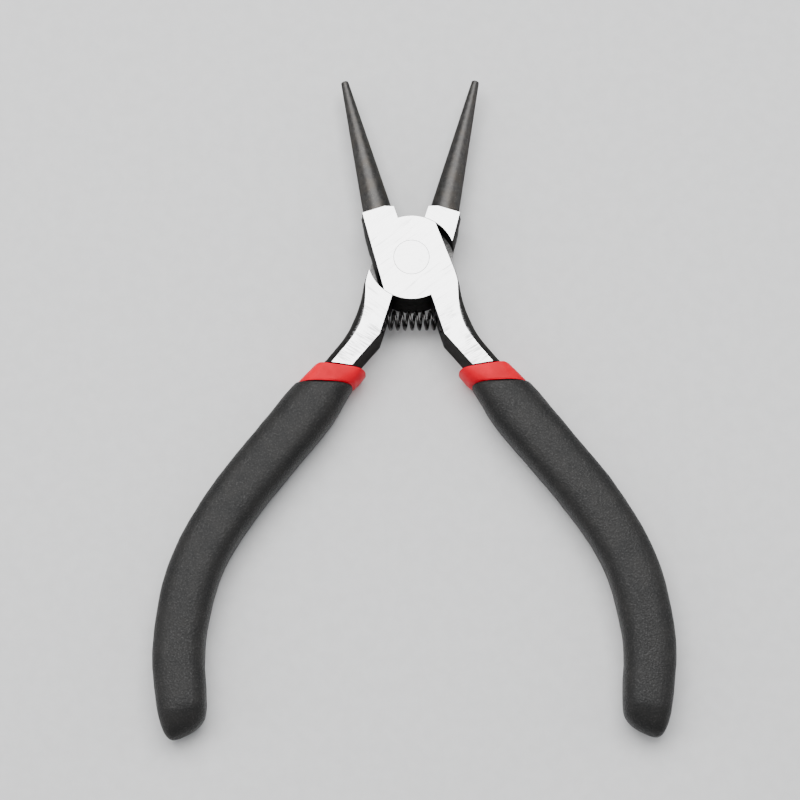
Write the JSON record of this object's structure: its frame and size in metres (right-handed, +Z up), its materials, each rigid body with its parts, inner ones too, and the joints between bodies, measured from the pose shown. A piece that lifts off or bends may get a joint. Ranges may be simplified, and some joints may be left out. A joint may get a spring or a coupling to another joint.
{
  "type": "round nose pliers",
  "caption": "Small hand pliers with two smooth conical jaws, a lap joint on a flush rivet, a coil return spring and dipped vinyl grips.",
  "frame": {"origin": "on the rivet's axis, on the flat underside of the head", "axes": "+Y towards the jaw tips, +Z up along the rivet, +X to the right with the jaws pointing away"},
  "size_m": [0.0874, 0.1172, 0.0084],
  "materials": {
    "forged_steel": "carbon steel, faces ground bright with fine cross scratches, forged sides and jaws left dark and satin",
    "rivet_steel": "steel, ends peened and ground flush with the head",
    "spring_steel": "dark oil-tempered spring wire, half gloss",
    "red_vinyl": "glossy red dipped vinyl, slightly uneven",
    "black_vinyl": "black vinyl with a fine matt grain and a soft sheen"
  },
  "bodies": {
    "lower_half": {"lower_forging": "forged_steel", "lower_grip_liner": "red_vinyl", "lower_grip": "black_vinyl", "pivot_rivet": "rivet_steel", "return_spring": "spring_steel"},
    "upper_half": {"upper_forging": "forged_steel", "upper_grip_liner": "red_vinyl", "upper_grip": "black_vinyl"}
  },
  "joints": [
    {"name": "pivot", "type": "hinge", "parent": "lower_half", "child": "upper_half", "pos_m": [0, 0, 0], "axis": [0, 0, 1], "range_deg": [-35, 0], "stiffness_Nm_per_rad": 0.2, "deforming": ["return_spring"]}
  ]
}
